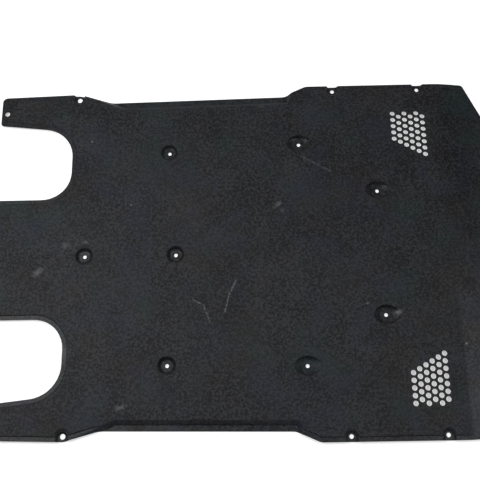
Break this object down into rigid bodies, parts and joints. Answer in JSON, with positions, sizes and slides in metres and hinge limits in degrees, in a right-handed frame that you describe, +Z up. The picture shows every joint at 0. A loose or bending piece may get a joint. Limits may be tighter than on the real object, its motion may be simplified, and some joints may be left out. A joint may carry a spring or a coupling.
{
  "type": "undercar splash shield",
  "caption": "Flat moulded undertray of black needled fibre with sunk side ledges, dimples, two perforated vents, a stepped nose and an end cut into two arms and a prong.",
  "frame": {"origin": "on the floor, under the middle of the outline's bounding box", "axes": "+X along the panel from the arm ends to the nose, +Y across it, +Z up out of the road side"},
  "size_m": [1.1, 0.769, 0.011],
  "materials": {
    "fibre": "pressed needled fibre, dull with a faint sheen"
  },
  "bodies": {
    "root": {"shield": "fibre"}
  },
  "joints": []
}
